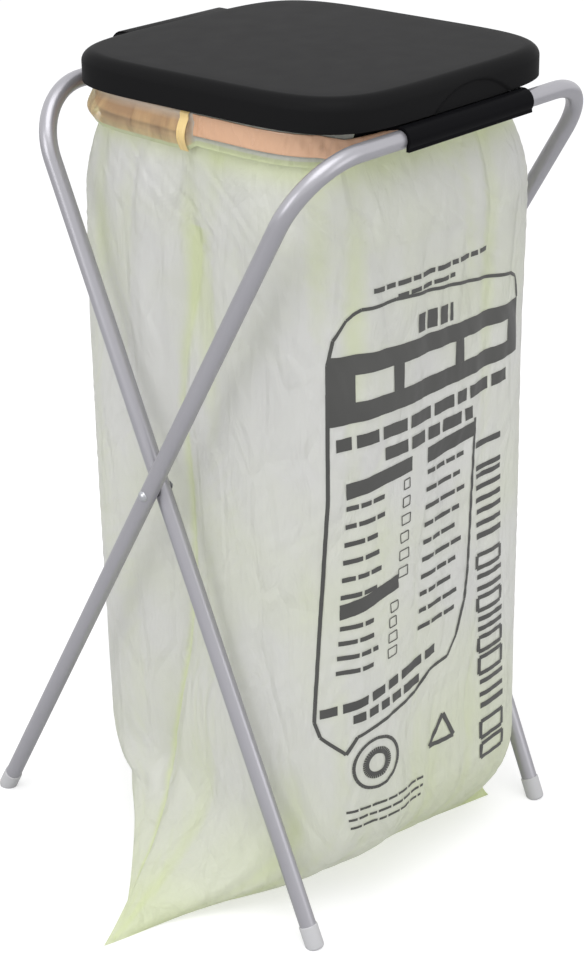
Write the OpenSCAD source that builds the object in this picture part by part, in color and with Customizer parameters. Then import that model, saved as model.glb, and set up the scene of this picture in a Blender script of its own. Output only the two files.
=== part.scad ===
// Folding bin bag stand. Two U-shaped tube frames cross at a pair of rivets. A plastic ring
// clips to the rear bar and hooks over the front bar, and a lid hinges on the rear bar.
// The film bag's rim is turned down over the ring and a rubber band holds it there.
// The front is towards -Y, and Z is 0 on the floor.

/* [Tube frames] */
// Outside diameter of the tube
tube_d = 16; // [14:0.5:18]
// Wall of the tube
tube_wall = 1; // [0.8:0.1:1.5]
// Bend radius of the tube's centreline
bend_r = 62; // [55:1:70]
// Height of the front bar's centre
front_bar_z = 756; // [700:1:800]
// Height of the rear bar's centre
rear_bar_z = 748; // [700:1:800]
// Distance between the front bar and the rear bar
bar_spread = 342; // [320:1:380]
// Distance between the front feet and the rear feet
foot_spread = 413; // [380:1:450]
// How far the middle of the bars lies in front of the middle of the feet
bar_lead = 25; // [0:1:40]
// Width of the outer frame at the rivets, between tube centres
outer_w = 385; // [375:1:420]
// Outward lean of the outer frame's legs, in degrees
outer_lean_out = 0.39; // [0:0.01:1]
// Outward lean of the inner frame's legs, in degrees
inner_lean_out = 0.41; // [0:0.01:1]

/* [Rivets and washers] */
// Diameter of the rivet's shank
rivet_d = 5; // [4:0.5:6]
// Diameter of the rivet's domed outer head
rivet_head_d = 10; // [8:0.5:11]
// Height of the domed head above the tube
rivet_head_h = 2.8; // [2:0.1:3.5]
// Diameter of the head that is clinched inside the inner frame
clinch_d = 8.5; // [7:0.5:9]
// Thickness of the clinched head
clinch_h = 1.8; // [1.5:0.1:2.2]
// Diameter of the washer between the tubes
washer_d = 12; // [10:0.5:14]
// Thickness of the washer
washer_h = 1; // [0.8:0.1:1.5]

/* [Foot caps] */
// Wall of a foot cap
cap_wall = 1; // [0.8:0.1:1.5]
// Length of a foot cap from the floor to its mouth, along the leg
cap_len = 22; // [18:1:30]
// Where the tube stops above the floor, along the leg
cap_stop = 7; // [6:0.5:9]
// Rounding of the cap's lower edge
cap_round = 3.5; // [2:0.5:4]
// Bevel of the cap's mouth
cap_bevel = 0.6; // [0.3:0.1:0.8]

/* [Bag ring] */
// Wall of the ring
ring_wall = 2.4; // [2:0.1:3]
// Depth of the ring below the plane of the bars
ring_drop = 20; // [16:1:22]
// Height of the ring above the plane of the bars
ring_rise = 8; // [7:0.5:9]
// Distance from the front bar's centre to the ring
ring_front_gap = 27; // [26:0.5:32]
// Distance from the rear bar's centre to the ring
ring_rear_gap = 17.5; // [17:0.5:22]
// Distance from the inner frame's tube centre to the side of the ring
ring_side_gap = 28; // [26:0.5:36]
// Squareness of the ring, the lid and the bag: 2 is an ellipse, and more is squarer
squareness = 5; // [4:0.1:6]
// Width of the hook over the front bar
hook_w = 168; // [120:1:180]
// How far the hook lies to the right of the middle
hook_x = 4; // [-10:1:10]
// Wall of the hook
hook_wall = 3; // [2.5:0.1:3.5]
// Angle round the front bar over which the hook wraps, in degrees
hook_wrap = 140; // [125:1:150]
// Length of the hook's lip below the wrap
lip_len = 4.5; // [3:0.5:6]
// How far the lip flares outwards
lip_flare = 3; // [1:0.5:4]
// Width of each rear clip
clip_w = 22; // [16:1:28]
// Distance from the middle to each rear clip's centre
clip_x = 86; // [82:1:92]
// Wall of the rear clips and of the lid's knuckles
clip_wall = 2.7; // [2.2:0.1:3]
// Mouth of the rear clips and of the lid's knuckles, in degrees
clip_mouth = 100; // [80:1:130]

/* [Lid] */
// Wall of the lid
lid_wall = 2.5; // [2:0.1:3]
// Height of the lid from the edge of its skirt to its top
lid_h = 28.6; // [26:0.1:34]
// Height of the skirt's edge above the rear bar's centre
lid_lift = 5; // [4:0.1:6]
// Slope of the lid against the ring, in degrees
lid_slope = 1.28; // [1:0.01:2]
// Gap between the ring and the inside of the skirt, at the sides
lid_side_gap = 4.6; // [4:0.1:6]
// How far the lid's front edge reaches past the front bar's centre
lid_front_reach = 1.2; // [0:0.1:3]
// How far the lid's rear edge stays in front of the rear bar's centre
lid_rear_gap = 1.6; // [1:0.1:3]
// Rounding of the lid's upper edge
lid_round = 11; // [8:0.5:14]
// Width of the hood over the rear bar
hood_w = 130; // [122:1:138]
// How far the hood reaches behind the rear bar's centre
hood_reach = 15; // [14:0.5:18]
// Rounding of the hood's upper edge
hood_round = 17; // [14:0.5:20]
// Width of each knuckle
knuckle_w = 24; // [16:1:28]
// Distance from the middle to each knuckle's centre
knuckle_x = 43; // [36:1:45]
// Width of the finger scallop in the front skirt
scallop_w = 92; // [70:1:110]
// Distance from the middle to the scallop's centre
scallop_x = 72; // [50:1:80]
// Depth of the scallop
scallop_depth = 1.4; // [1:0.1:1.6]
// Height of the scallop above the skirt's edge
scallop_h = 20; // [14:1:22]

/* [Bag and band] */
// Thickness of the film, drawn thicker than it is
film_t = 0.5; // [0.4:0.1:0.8]
// Clearance from the bag to the legs at the floor
bag_side_gap = 6; // [4:0.5:12]
// How far the bag swells past the ring, front and rear
bag_swell = 19; // [8:1:24]
// Height at which the bag starts to close towards its weld
bag_close_z = 110; // [80:1:160]
// Drift of the bag towards the front, from its top to where it closes
bag_drift = 26; // [0:1:30]
// Length of the bottom weld
weld_len = 460; // [420:1:470]
// Direction of the weld against the X axis, in degrees
weld_turn = -13.3; // [-20:0.1:0]
// Distance of the weld's centre to the left of the middle
weld_left = 84; // [60:1:90]
// Distance of the weld's centre in front of the middle of the feet
weld_front = 117; // [90:1:125]
// Height of the weld above the floor
weld_z = 0.6; // [0.5:0.1:2]
// Width of the seam at the weld's ends
weld_seam = 10; // [6:0.5:14]
// Length of the turned-down film outside the ring
flap_len = 19; // [12:1:24]
// Length of the turned-down film at the rear of the left side
flap_long = 27; // [20:1:30]
// Height of the rubber band
band_h = 18; // [12:1:18]
// Thickness of the rubber band
band_t = 1; // [0.8:0.1:1.4]
// How far the band's lower edge stays above the ring's lower edge
band_up = 3; // [2:0.5:6]

/* [Hidden] */

$fn = 64;
loop_count = 64;     // points round the ring, the band and the bag
steel_colour = "#a9a9b1";
rivet_colour = "#b9bbbe";
cap_colour = "#c9cbcc";
plastic_colour = "#1f1f21";
washer_colour = "#2a2a2c";
film_colour = "#dfe5c8";
band_colour = "#b98363";

lid_count = 48;      // points round the lid
round_steps = 3;     // facets across the lid's rounded edge

// Clearances
cut = 1;             // how far a cutter runs past what it cuts
seat = 0.05;         // between pieces of one body that sit on each other
running = 0.07;      // radial, between a bar or shank and what turns on it
hook_fit = 0.3;      // radial, between the hook and the front bar
layer_gap = 0.3;     // between the ring, the film and the band
turn_gap = 0.3;      // between the clinched head and the inner frame
head_bite = 0.4;     // how far the domed head's rim comes down over the tube
clinch_bevel = 0.6;

cap_sink = 0.55;     // share of the cap's tilted face that the flat on the floor cuts off
tube_r = tube_d / 2;
bore_d = tube_d - 2 * tube_wall;

// Side view: the bars, the feet and the crossing of the two frames
front_bar_y = -bar_lead - bar_spread / 2;
rear_bar_y = -bar_lead + bar_spread / 2;
foot_y = foot_spread / 2;
outer_slope = (foot_y - front_bar_y) / front_bar_z;
inner_slope = (foot_y + rear_bar_y) / rear_bar_z;
pivot_z = foot_spread / (outer_slope + inner_slope);
pivot_y = foot_y - outer_slope * pivot_z;
outer_lean = atan(outer_slope);
inner_lean = atan(inner_slope);

// The legs' outward lean, rounded to a cosine of six digits so that legs and bends meet cleanly
function clean_angle(a) = acos(1 - round((1 - cos(a)) * 1e6) / 1e6);
outer_splay = clean_angle(outer_lean_out);
inner_splay = clean_angle(inner_lean_out);

// Front view: the half widths at the pivots, and the gap that holds the washers
washer_space = washer_h + seat + 2 * running;
outer_half = outer_w / 2;
inner_half = outer_half - tube_d - washer_space;

// Lengths from the pivot, along each frame
outer_top = (front_bar_z - pivot_z) / cos(outer_lean);
outer_foot = pivot_z / cos(outer_lean);
inner_top = (rear_bar_z - pivot_z) / cos(inner_lean);
inner_foot = pivot_z / cos(inner_lean);
inner_bar_half = inner_half + inner_top * tan(inner_splay);
inner_foot_half = inner_half - inner_foot * tan(inner_splay);

// The deck runs from the rear bar to the front bar, and its Y and Z lie along and across it
deck_len = norm([bar_spread, front_bar_z - rear_bar_z]);
deck_tilt = atan((front_bar_z - rear_bar_z) / bar_spread);

// Ring, in the deck's frame
ring_half_x = inner_bar_half - ring_side_gap;
ring_half_y = (deck_len - ring_front_gap - ring_rear_gap) / 2;
ring_mid_y = -ring_rear_gap - ring_half_y;
arm_z = 2;           // underside of the hook's web and of the clips' arms
arm_root = 1;        // how far they run into the ring's wall
hook_from = 165;     // where the hook starts, in degrees from straight down towards the ring
band_low = -ring_drop + band_up;
band_off = 2 * layer_gap + film_t;
hook_r = tube_r + hook_fit;
clip_r = tube_r + running;
clip_out = clip_r + clip_wall;

// Lid, in its own frame
lid_half_x = ring_half_x + lid_side_gap + lid_wall;
lid_front_y = -deck_len - lid_front_reach;
lid_half_y = (-lid_front_y - lid_rear_gap) / 2;
lid_mid_y = -lid_rear_gap - lid_half_y;
lid_top = lid_lift + lid_h;
hood_low = 2;        // lower edge of the hood
hood_step = 0.3;     // how far the hood lies below the lid's top
clip_clear = 0.6;    // between the lid and the rear clips
bar_clear = 1.5;     // between the lid's skirt and the rear bar

// Bag, in the stand's frame
bag_half_x = inner_foot_half - tube_r - bag_side_gap;
bag_half_y = ring_half_y + bag_swell;
bag_top_y = rear_bar_y + ring_mid_y;
bag_top_z = rear_bar_z - 90;
weld_half_t = 2;     // half thickness of the film at the weld
close_bulge = 2.2;   // how fast the bag closes towards the weld
film_flare = 6;      // how far the film spreads below the ring
film_in = -ring_wall - layer_gap;
film_rim = ring_rise + layer_gap;
film_neck = -ring_drop - 3;
film_swell = -ring_drop - 28;
flap_clear = 24;     // from the hook to where the turned-down film starts
no_flap = 0.1;       // length of the turned-down film beside the hook and the clips

// The origin is below the middle of the whole object, bag included
right_reach = outer_half + tube_r + rivet_head_h;
left_reach = weld_left + weld_len / 2 * cos(weld_turn);
stand_x = (left_reach - right_reach) / 2;

// Point of a rounded square, at an angle of t degrees
function rounded(t, a, b, n = squareness) =
    let (c = cos(t), s = sin(t), k = pow(pow(abs(c), n) + pow(abs(s), n), -1 / n)) [a * c * k, b * s * k];

// Loop of points of a rounded square about (0, y) at the height z
function rounded_loop(a, b, y, z, count) =
    [for (i = [0:count - 1]) let (p = rounded(360 * i / count, a, b)) [p.x, p.y + y, z]];

// Outline of the ring grown by an offset
function grown_loop(offset) =
    [for (i = [0:loop_count - 1]) rounded(360 * i / loop_count, ring_half_x + offset, ring_half_y + offset)];

// How far the ring's front or rear wall bows back at a distance x from the middle
function wall_bow(x) = ring_half_y * (1 - pow(1 - pow(x / ring_half_x, squareness), 1 / squareness));

// Point of the deck's frame in the stand's frame
function from_deck(p) = [
    p.x,
    rear_bar_y + p.y * cos(deck_tilt) + p.z * sin(deck_tilt),
    rear_bar_z - p.y * sin(deck_tilt) + p.z * cos(deck_tilt)];

module stand() { translate([stand_x, 0, 0]) children(); }
module outer_plane() { stand() translate([0, pivot_y, pivot_z]) rotate([outer_lean, 0, 0]) children(); }
module inner_plane() { stand() translate([0, pivot_y, pivot_z]) rotate([-inner_lean, 0, 0]) children(); }
module deck() { stand() translate([0, rear_bar_y, rear_bar_z]) rotate([-deck_tilt, 0, 0]) children(); }
module lid_plane() { deck() rotate([-lid_slope, 0, 0]) children(); }

// Closed solid through two chains of loops with equal counts of points, one wall and the way back.
// The end loops are capped, and both walls are split into facets along the same diagonals.
module skin(there, back) {
    loops = concat(there, back);
    n = len(loops[0]);
    m = len(loops);
    points = [for (loop = loops, p = loop) p];
    sides = [for (i = [0:m - 2], j = [0:n - 1])
        let (a = i * n + j, b = (i + 1) * n + j, c = (i + 1) * n + (j + 1) % n, d = i * n + (j + 1) % n)
        each i < len(there) ? [[a, b, c], [a, c, d]] : [[a, b, d], [b, c, d]]];
    ends = [[for (j = [0:n - 1]) j], [for (j = [n - 1:-1:0]) (m - 1) * n + j]];
    polyhedron(points, concat(sides, ends));
}

// Solid rod bent to the path of a frame, with its foot ends at -foot and its bar at +top
module u_rod(d, top, foot, half, splay) {
    arc_z = top - bend_r;
    arc_x = half + arc_z * tan(splay) - bend_r / cos(splay);
    leg_len = (arc_z - bend_r * sin(splay) + foot) / cos(splay);
    for (flip = [0, 1])
        mirror([flip, 0, 0])
            translate([arc_x, 0, arc_z])
                rotate([90, 0, 0]) {
                    difference() {
                        rotate_extrude(angle = 100, start = -10)
                            translate([bend_r, 0])
                                circle(d = d);
                        rotate([0, 0, -splay])
                            translate([0, -2 * bend_r, -d])
                                cube([2 * bend_r, 2 * bend_r, 2 * d]);
                    }
                    rotate([0, 0, -splay])
                        translate([bend_r, 0, 0])
                            rotate([90, 0, 0])
                                cylinder(d = d, h = leg_len);
                    translate([0, bend_r, 0])
                        rotate([0, -90, 0])
                            cylinder(d = d, h = arc_x + cut);
                }
}

// Tube bent to a U, drilled for the rivets
module u_frame(top, foot, half, splay, hole_gap) {
    tube_foot = foot - cap_stop;
    difference() {
        u_rod(tube_d, top, tube_foot, half, splay);
        u_rod(bore_d, top, tube_foot + cut, half, splay);
        for (side = [-1, 1])
            translate([side * half - tube_d, 0, 0])
                rotate([0, 90, 0])
                    cylinder(d = rivet_d + 2 * hole_gap, h = 2 * tube_d);
    }
}

module front_bar_frame() {
    color(steel_colour)
        outer_plane()
            u_frame(outer_top, outer_foot, outer_half, outer_splay, seat);
}

module rear_bar_frame() {
    color(steel_colour)
        inner_plane()
            u_frame(inner_top, inner_foot, inner_half, inner_splay, running);
}

// Moulded cap about the Z axis, with the point where the leg meets the floor at the origin
module cap_body(lean) {
    cap_r = tube_r + cap_wall;
    low = -cap_r * tan(lean) * cap_sink;
    corner = [for (a = [-90:15:0])
        [cap_r - cap_round + cap_round * cos(a), low + cap_round + cap_round * sin(a)]];
    rotate_extrude()
        polygon(concat([[0, low]], corner, [
            [cap_r, cap_len - cap_bevel],
            [cap_r - cap_bevel, cap_len],
            [tube_r + seat, cap_len],
            [tube_r + seat, cap_stop - seat],
            [0, cap_stop - seat]]));
}

module floor_cutter() {
    below = 40;
    translate([-outer_w, -foot_spread, -below])
        cube([3 * outer_w, 2 * foot_spread, below]);
}

module outer_cap(side) {
    color(cap_colour)
        difference() {
            outer_plane()
                translate([side * (outer_half - outer_foot * tan(outer_splay)), 0, -outer_foot])
                    rotate([0, side * outer_splay, 0])
                        cap_body(outer_lean);
            floor_cutter();
        }
}

module inner_cap(side) {
    color(cap_colour)
        difference() {
            inner_plane()
                translate([side * inner_foot_half, 0, -inner_foot])
                    rotate([0, side * inner_splay, 0])
                        cap_body(inner_lean);
            floor_cutter();
        }
}

module foot_cap_front_left() { inner_cap(-1); }
module foot_cap_front_right() { inner_cap(1); }
module foot_cap_rear_left() { outer_cap(-1); }
module foot_cap_rear_right() { outer_cap(1); }

// Rivet along +X through the crossing: the domed head saddles the outer tube
module rivet_body() {
    head_r = rivet_head_d / 2;
    head_x = outer_half + tube_r + rivet_head_h;
    saddle = tube_r - sqrt(pow(tube_r, 2) - pow(head_r, 2)) + head_bite;
    dome_r = (pow(head_r, 2) + pow(rivet_head_h, 2)) / (2 * rivet_head_h);
    clinch_x = inner_half - tube_r - turn_gap;
    dome = [for (i = [0:8]) let (r = head_r * (1 - i / 8))
        [r, head_x - dome_r + sqrt(pow(dome_r, 2) - pow(r, 2))]];
    rotate([0, 90, 0])
        rotate_extrude()
            polygon(concat([
                [0, clinch_x - clinch_h],
                [clinch_d / 2 - clinch_bevel, clinch_x - clinch_h],
                [clinch_d / 2, clinch_x - clinch_h + clinch_bevel],
                [clinch_d / 2, clinch_x],
                [rivet_d / 2, clinch_x],
                [rivet_d / 2, outer_half + tube_r - saddle],
                [head_r, outer_half + tube_r - saddle]], dome));
}

module pivot_rivet(flip) {
    color(rivet_colour)
        difference() {
            stand()
                translate([0, pivot_y, pivot_z])
                    mirror([flip, 0, 0])
                        rivet_body();
            outer_plane()
                difference() {
                    u_rod(tube_d + 2 * seat, outer_half, outer_half, outer_half, outer_splay);
                    rotate([0, 90, 0])
                        translate([0, 0, -outer_w])
                            cylinder(d = rivet_d, h = 2 * outer_w);
                }
        }
}

module pivot_rivet_left() { pivot_rivet(1); }
module pivot_rivet_right() { pivot_rivet(0); }

module spacer_washer(flip) {
    color(washer_colour)
        stand()
            translate([0, pivot_y, pivot_z])
                mirror([flip, 0, 0])
                    translate([outer_half - tube_r - seat - washer_h, 0, 0])
                        rotate([0, 90, 0])
                            difference() {
                                cylinder(d = washer_d, h = washer_h);
                                translate([0, 0, -cut])
                                    cylinder(d = rivet_d + 2 * seat, h = washer_h + 2 * cut);
                            }
}

module spacer_washer_left() { spacer_washer(1); }
module spacer_washer_right() { spacer_washer(0); }

// Open collar about the X axis that snaps over a bar from above
module bar_collar(width) {
    rotate([0, 90, 0])
        rotate_extrude(angle = 360 - clip_mouth, start = clip_mouth / 2)
            translate([clip_r, -width / 2])
                square([clip_wall, width]);
}

// Prism along X, from its outline in Y and Z
module side_prism(outline, width) {
    translate([-width / 2, 0, 0])
        rotate([90, 0, 90])
            linear_extrude(width)
                polygon(outline);
}

// Hook over the front bar, open towards the ring, with a flared lip in front
module front_hook() {
    hook_out = hook_r + hook_wall;
    lip_a = hook_from + hook_wrap - 3;
    lip = [sin(lip_a), -cos(lip_a)];
    root = arm_root + wall_bow(abs(hook_x) + hook_w / 2);
    translate([hook_x, -deck_len, 0]) {
        rotate([0, 90, 0])
            rotate_extrude(angle = hook_wrap, start = hook_from)
                translate([hook_r, -hook_w / 2])
                    square([hook_wall, hook_w]);
        side_prism([
            [0, hook_r + 0.02],
            [2.1, hook_r - 0.25],
            [ring_front_gap, arm_z],
            [ring_front_gap + root, arm_z],
            [ring_front_gap + root, ring_rise],
            [ring_front_gap - 5, ring_rise],
            [3, hook_out - 0.2],
            [0, hook_out]], hook_w);
        side_prism([
            lip * (hook_r + seat),
            lip * (hook_r + seat) + [0, -lip_len],
            lip * (hook_r + seat) + [-lip_flare, -lip_len],
            lip * hook_out], hook_w);
    }
}

module rear_clip(side) {
    root = arm_root + wall_bow(clip_x + clip_w / 2);
    translate([side * clip_x, 0, 0]) {
        bar_collar(clip_w);
        side_prism([
            [-ring_rear_gap - root, arm_z],
            [-ring_rear_gap - root, ring_rise],
            [-clip_r * 0.75, clip_r * 0.88],
            [-clip_r - 1, 0.5],
            [-clip_out + 0.4, arm_z - 0.6]], clip_w);
    }
}

module bag_ring() {
    color(plastic_colour)
        deck()
            difference() {
                union() {
                    translate([0, ring_mid_y, -ring_drop])
                        linear_extrude(ring_drop + ring_rise)
                            polygon(grown_loop(0));
                    front_hook();
                    rear_clip(-1);
                    rear_clip(1);
                }
                translate([0, ring_mid_y, -ring_drop - cut])
                    linear_extrude(ring_drop + ring_rise + 2 * cut)
                        polygon(grown_loop(-ring_wall));
            }
}

module rubber_band() {
    color(band_colour)
        deck()
            translate([0, ring_mid_y, band_low])
                linear_extrude(band_h)
                    difference() {
                        polygon(grown_loop(band_off + band_t));
                        polygon(grown_loop(band_off));
                    }
}

// Lid's walls as chains of loops: the inner one from the underside down, the outer one up to the top
function lid_inner(count) =
    let (inner_round = lid_round - lid_wall)
    concat(
        [for (i = [0:round_steps]) let (a = 90 - 90 * i / round_steps)
            lid_loop(
                lid_wall + inner_round * (1 - cos(a)),
                lid_top - lid_wall - inner_round * (1 - sin(a)), count)],
        [lid_loop(lid_wall, lid_lift, count)]);

function lid_outer(count) =
    concat(
        [lid_loop(0, lid_lift, count)],
        [for (i = [0:round_steps]) let (a = 90 * i / round_steps)
            lid_loop(lid_round * (1 - cos(a)), lid_top - lid_round * (1 - sin(a)), count)]);

function lid_loop(inset, z, count) =
    rounded_loop(lid_half_x - inset, lid_half_y - inset, lid_mid_y, z, count);

// Curve of the hood in Y and Z from the lid's top, over the bar and down behind it
function hood_curve(inset) =
    let (back = hood_reach - inset, top = lid_top - hood_step - inset, bend = hood_round - inset)
    concat(
        [[-lid_round - 1, top]],
        [for (a = [90:-15:0]) [back - bend + bend * cos(a), top - bend + bend * sin(a)]],
        [[back, hood_low]]);

// Hood that covers the knuckles and the bar, with a cheek at each end
module hood() {
    outer = hood_curve(0);
    inner = hood_curve(lid_wall);
    side_prism(concat(outer, [for (i = [len(inner) - 1:-1:0]) inner[i]]), hood_w);
    for (side = [-1, 1])
        translate([side * (hood_w - lid_wall) / 2, 0, 0])
            side_prism(concat(outer, [[-lid_rear_gap - 1, hood_low]]), lid_wall);
}

// Lens-shaped finger grip pressed into the front skirt
module scallop() {
    lens_r = (pow(scallop_w / 2, 2) + pow(scallop_h, 2)) / (2 * scallop_h);
    translate([scallop_x, lid_front_y - cut, lid_lift + scallop_h - lens_r])
        rotate([-90, 0, 0])
            cylinder(r = lens_r, h = cut + scallop_depth);
}

module lid() {
    color(plastic_colour)
        lid_plane() {
            difference() {
                union() {
                    skin(lid_inner(lid_count), lid_outer(lid_count));
                    hood();
                }
                rotate([0, 90, 0])
                    translate([0, 0, -lid_half_x])
                        cylinder(r = tube_r + bar_clear, h = 2 * lid_half_x);
                for (side = [-1, 1])
                    translate([side * (clip_x + clip_w / 2) - clip_w, 0, 0])
                        rotate([0, 90, 0])
                            cylinder(r = clip_out + clip_clear, h = 2 * clip_w);
                scallop();
            }
            for (side = [-1, 1])
                translate([side * knuckle_x, 0, 0])
                    bar_collar(knuckle_w);
        }
}

module film_bag() {
    color(film_colour)
        stand()
            skin(bag_outer(loop_count), bag_inner(loop_count));
}

// How far down the film is turned outside the ring, at a point of the ring's outline
function flap_drop(p) =
    abs(p.x) < clip_x + clip_w && p.y > 0 ? no_flap
    : abs(p.x - hook_x) < hook_w / 2 + flap_clear && p.y < -ring_half_y * 0.7 ? no_flap
    : p.x < -ring_half_x * 0.6 && p.y > 0 ? flap_long
    : flap_len;

// Loop round the ring's wall, grown by the offset, at a height in the deck's frame
function ring_loop(offset, z, count) =
    [for (p = rounded_loop(ring_half_x + offset, ring_half_y + offset, ring_mid_y, z, count)) from_deck(p)];

// Loop of the film's turned-down edge
function edge_loop(offset, count) =
    [for (i = [0:count - 1])
        let (p = rounded(360 * i / count, ring_half_x + offset, ring_half_y + offset))
        from_deck([p.x, p.y + ring_mid_y, ring_rise + layer_gap - flap_drop(p)])];

// Loop of the weld's seam, with its ends and its faces drawn in
function weld_loop(z, ends, faces, count) =
    [for (i = [0:count - 1])
        let (
            a = 360 * i / count - weld_turn,
            u = (weld_len / 2 - ends) * cos(a),
            v = (weld_half_t - faces) * sin(a)
        )
        [
            u * cos(weld_turn) - v * sin(weld_turn) - weld_left,
            u * sin(weld_turn) + v * cos(weld_turn) - weld_front,
            z
        ]];

// Loop of the bag's body at a height; it closes to the weld from bag_close_z down
function body_loop(z, count) =
    let (
        down = (bag_top_z - z) / (bag_top_z - bag_close_z),
        mid_y = bag_top_y - bag_drift * min(1, down),
        close = max(0, 1 - (z - weld_z) / (bag_close_z - weld_z)),
        share = pow(close, close_bulge),
        round = rounded_loop(bag_half_x, bag_half_y, mid_y, z, count),
        weld = weld_loop(z, 0, 0, count)
    )
    [for (i = [0:count - 1]) round[i] * (1 - share) + weld[i] * share];

// Loop moved inwards, square to the surface through the loops below and above it
function inside_loop(below, loop, above) =
    let (n = len(loop))
    [for (i = [0:n - 1])
        let (out = cross(loop[(i + 1) % n] - loop[(i + n - 1) % n], above[i] - below[i]))
        loop[i] - film_t * out / norm(out)];

// Loops of the bag's outside, from the weld up to the ring
function bag_body(count) =
    let (
        closing = [0, 0.05, 0.13, 0.25, 0.42, 0.65, 1],
        rising = [1 / 3, 2 / 3, 1],
        heights = concat(
            [for (c = closing) weld_z + c * (bag_close_z - weld_z)],
            [for (r = rising) bag_close_z + r * (bag_top_z - bag_close_z)])
    )
    concat([for (z = heights) body_loop(z, count)], [ring_loop(film_in + film_flare, film_swell, count)]);

// The film's outer face: up the outside, through the ring, over its rim and down to the film's edge
function bag_outer(count) =
    concat(
        bag_body(count),
        [ring_loop(film_in, film_neck, count)],
        [ring_loop(film_in, film_rim, count)],
        [ring_loop(layer_gap, film_rim, count)],
        [edge_loop(layer_gap, count)]);

// The film's inner face, the same way back
function bag_inner(count) =
    let (body = bag_body(count), last = len(body) - 1)
    concat(
        [edge_loop(layer_gap + film_t, count)],
        [ring_loop(layer_gap + film_t, film_rim + film_t, count)],
        [ring_loop(film_in - film_t, film_rim + film_t, count)],
        [ring_loop(film_in - film_t, film_neck, count)],
        [ring_loop(film_in + film_flare - film_t, film_swell, count)],
        [for (i = [last - 1:-1:1]) inside_loop(body[i - 1], body[i], body[i + 1])],
        [weld_loop(weld_z + film_t, weld_seam, film_t, count)]);

front_bar_frame();
rear_bar_frame();
foot_cap_front_left();
foot_cap_front_right();
foot_cap_rear_left();
foot_cap_rear_right();
pivot_rivet_left();
pivot_rivet_right();
spacer_washer_left();
spacer_washer_right();
bag_ring();
lid();
film_bag();
rubber_band();
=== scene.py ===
import math

import bmesh
import bpy
import numpy as np
from mathutils import Matrix, Vector


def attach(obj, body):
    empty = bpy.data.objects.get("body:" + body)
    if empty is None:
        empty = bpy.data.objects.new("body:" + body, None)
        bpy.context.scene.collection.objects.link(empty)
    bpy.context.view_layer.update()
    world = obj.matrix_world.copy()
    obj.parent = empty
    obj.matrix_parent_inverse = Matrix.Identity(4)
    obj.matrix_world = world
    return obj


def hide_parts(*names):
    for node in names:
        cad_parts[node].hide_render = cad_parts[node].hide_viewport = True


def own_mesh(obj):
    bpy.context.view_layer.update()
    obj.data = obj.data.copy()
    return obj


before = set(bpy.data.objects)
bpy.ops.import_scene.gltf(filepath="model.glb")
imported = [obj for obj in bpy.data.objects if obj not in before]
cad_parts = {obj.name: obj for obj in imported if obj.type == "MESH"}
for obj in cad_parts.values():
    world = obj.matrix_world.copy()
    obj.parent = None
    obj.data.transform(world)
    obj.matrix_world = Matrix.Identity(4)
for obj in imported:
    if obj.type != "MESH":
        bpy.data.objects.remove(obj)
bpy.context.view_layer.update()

# Camera. It looks down on the stand from before its left front corner, where the photograph
# was taken, with the long lens that such product pictures use.
camera_place = Vector((-1.38123, -1.29461, 1.28243))
camera_yaw = 0.841363353
camera_pitch = -0.447649424
camera_roll = 0.0182202414
focal_pixels = 2200.928
picture_height = 960
ahead = Vector((
    math.cos(camera_pitch) * math.sin(camera_yaw),
    math.cos(camera_pitch) * math.cos(camera_yaw),
    math.sin(camera_pitch),
))
level_right = Vector((math.cos(camera_yaw), -math.sin(camera_yaw), 0))
level_up = level_right.cross(ahead)
cam_right = math.cos(camera_roll) * level_right + math.sin(camera_roll) * level_up
cam_up = -math.sin(camera_roll) * level_right + math.cos(camera_roll) * level_up
camera_data = bpy.data.cameras.new("camera")
camera_data.sensor_width = 36
camera_data.lens = focal_pixels / picture_height * camera_data.sensor_width
camera_data.clip_end = 30
camera = bpy.data.objects.new("camera", camera_data)
camera.matrix_world = Matrix.Translation(camera_place) @ Matrix((cam_right, cam_up, -ahead)).transposed().to_4x4()
bpy.context.scene.collection.objects.link(camera)
bpy.context.scene.camera = camera
bpy.context.scene.view_settings.view_transform = "Standard"

# Setting. A pale floor under plain soft light, with a white surround that only the camera
# and reflections see.


def new_material(name):
    """A new material with an empty tree; gives the material, its tree and its output."""
    mat = bpy.data.materials.new(name)
    mat.use_nodes = True
    tree = mat.node_tree
    tree.nodes.clear()
    out = tree.nodes.new("ShaderNodeOutputMaterial")
    return mat, tree, out


def add_node(tree, kind, **settings):
    """A new node; settings name its properties, and those with a leading in_ its inputs."""
    made = tree.nodes.new(kind)
    for key, value in settings.items():
        if key.startswith("in_"):
            made.inputs[key[3:].replace("_", " ")].default_value = value
        else:
            setattr(made, key, value)
    return made


floor_size = 14
floor_mesh = bpy.data.meshes.new("floor")
half = floor_size / 2
floor_mesh.from_pydata([(-half, -half, 0), (half, -half, 0), (half, half, 0), (-half, half, 0)], [], [(0, 1, 2, 3)])
floor = bpy.data.objects.new("floor", floor_mesh)
bpy.context.scene.collection.objects.link(floor)
floor_mat, tree, out = new_material("pale_floor")
matte = add_node(tree, "ShaderNodeBsdfDiffuse", in_Color=(0.6, 0.6, 0.61, 1))
glow = add_node(tree, "ShaderNodeEmission", in_Color=(1, 1, 1, 1), in_Strength=0.5)
both = add_node(tree, "ShaderNodeAddShader")
rays = add_node(tree, "ShaderNodeLightPath")
seen = add_node(tree, "ShaderNodeMath", operation="MAXIMUM")
blend_in = add_node(tree, "ShaderNodeMixShader")
tree.links.new(rays.outputs["Is Camera Ray"], seen.inputs[0])
tree.links.new(rays.outputs["Is Transmission Ray"], seen.inputs[1])
tree.links.new(matte.outputs[0], both.inputs[0])
tree.links.new(glow.outputs[0], both.inputs[1])
tree.links.new(seen.outputs[0], blend_in.inputs[0])
tree.links.new(matte.outputs[0], blend_in.inputs[1])
tree.links.new(both.outputs[0], blend_in.inputs[2])
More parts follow.
